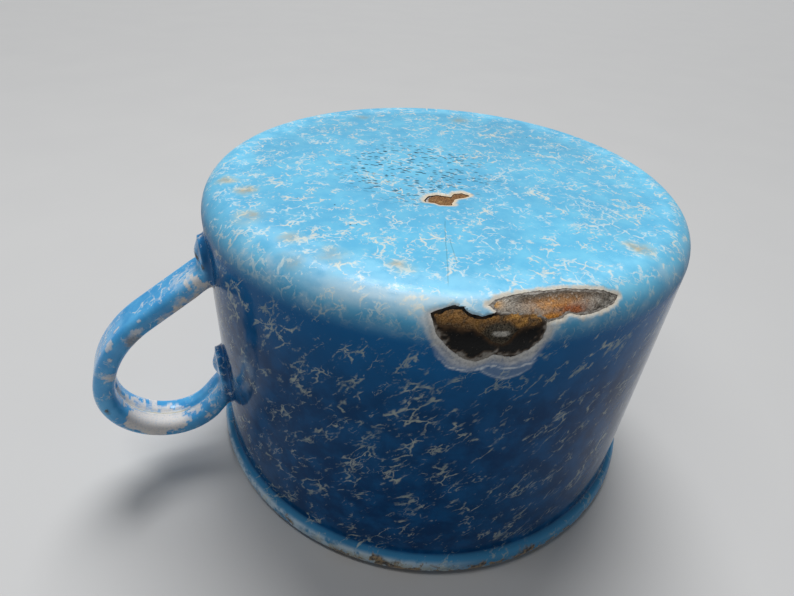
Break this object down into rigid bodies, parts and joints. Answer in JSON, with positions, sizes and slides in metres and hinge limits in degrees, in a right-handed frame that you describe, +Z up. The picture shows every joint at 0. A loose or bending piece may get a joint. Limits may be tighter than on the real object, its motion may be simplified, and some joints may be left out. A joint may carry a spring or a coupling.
{
  "type": "enamel cup",
  "caption": "Straight-sided enamelled steel cup with a rolled rim and a riveted strap handle, blue swirl outside and white inside, with chipped places.",
  "frame": {"origin": "centre of the base's underside, which is the face the cup stands on", "axes": "+Z up along the cup's axis towards the open mouth; +X from the axis through the middle of the handle; +Y completes a right-handed frame"},
  "size_m": [0.1301, 0.1068, 0.0653],
  "materials": {
    "bare_steel": "rusted where it shows",
    "ground_coat": "glossy near-black vitreous enamel",
    "swirl_enamel": "glossy vitreous enamel, sky blue with white swirl veins",
    "white_enamel": "glossy white vitreous enamel"
  },
  "bodies": {
    "root": {"cup_shell": "bare_steel", "cup_ground_coat": "ground_coat", "cup_swirl_enamel": "swirl_enamel", "cup_white_lining": "white_enamel", "handle_strap": "bare_steel", "handle_ground_coat": "ground_coat", "handle_swirl_enamel": "swirl_enamel", "handle_rivets": "bare_steel"}
  },
  "joints": []
}
